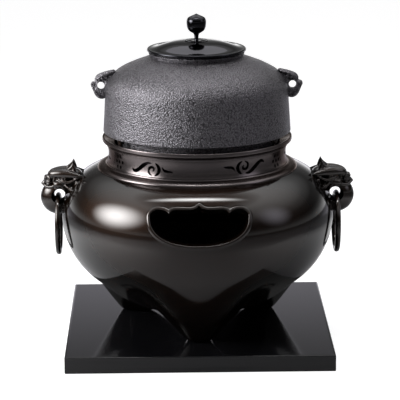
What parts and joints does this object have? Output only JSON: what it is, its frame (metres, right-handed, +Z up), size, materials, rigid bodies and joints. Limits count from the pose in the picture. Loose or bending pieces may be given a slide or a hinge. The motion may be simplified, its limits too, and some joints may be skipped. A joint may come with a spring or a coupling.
{
  "type": "tea ceremony brazier",
  "caption": "Round bronze tea brazier with a cusped fire window, pierced collar and beast-mask lugs with rings, on a black lacquered board, carrying a lidded iron kettle.",
  "frame": {"origin": "middle of the board's underside, below the vessel's axis", "axes": "+Z up along the vessel's axis, -Y towards the person facing the fire window, +X to that person's right"},
  "size_m": [0.3462, 0.2997, 0.362],
  "materials": {
    "black_lacquer": "high gloss black lacquer",
    "dark_bronze": "polished, dark brown patina",
    "rough_iron": "rough cast skin, matte",
    "black_bronze": "blackened and polished",
    "fired_clay": "unglazed fired clay",
    "sifted_ash": "fine dry powder",
    "oak_charcoal": "matte, bark still on"
  },
  "bodies": {
    "board": {"base_board": "black_lacquer"},
    "brazier": {"brazier_bowl": "dark_bronze", "neck_collar": "dark_bronze", "front_foot": "dark_bronze", "left_rear_foot": "dark_bronze", "right_rear_foot": "dark_bronze", "front_foot_rivet": "dark_bronze", "left_rear_foot_rivet": "dark_bronze", "right_rear_foot_rivet": "dark_bronze", "left_mask_lug": "dark_bronze", "right_mask_lug": "dark_bronze", "left_mask_upper_rivet": "dark_bronze", "left_mask_lower_rivet": "dark_bronze", "right_mask_upper_rivet": "dark_bronze", "right_mask_lower_rivet": "dark_bronze", "left_rest_pin": "dark_bronze", "right_rest_pin": "dark_bronze", "rear_rest_pin": "dark_bronze", "floor_tile": "fired_clay", "ash_bed": "sifted_ash", "charcoal_1": "oak_charcoal", "charcoal_2": "oak_charcoal", "charcoal_3": "oak_charcoal"},
    "left_ring": {"left_ring": "dark_bronze"},
    "right_ring": {"right_ring": "dark_bronze"},
    "kettle": {"kettle_body": "rough_iron", "left_kettle_lug": "rough_iron", "right_kettle_lug": "rough_iron"},
    "lid": {"kettle_lid": "black_bronze", "knob_seat": "black_bronze", "lid_knob": "black_bronze", "knob_washer": "black_bronze"}
  },
  "joints": [
    {"name": "brazier_lift", "type": "slide", "parent": "board", "child": "brazier", "axis": [0, 0, 1], "range_m": [0, 0.08]},
    {"name": "left_ring_swing", "type": "hinge", "parent": "brazier", "child": "left_ring", "pos_m": [-0.154, 0, 0.161], "axis": [0, 1, 0], "range_deg": [-6, 95]},
    {"name": "right_ring_swing", "type": "hinge", "parent": "brazier", "child": "right_ring", "pos_m": [0.154, 0, 0.161], "axis": [0, -1, 0], "range_deg": [-6, 95]},
    {"name": "kettle_lift", "type": "slide", "parent": "brazier", "child": "kettle", "axis": [0, 0, 1], "range_m": [0, 0.12]},
    {"name": "lid_lift", "type": "slide", "parent": "kettle", "child": "lid", "axis": [0, 0, 1], "range_m": [0, 0.06]}
  ]
}
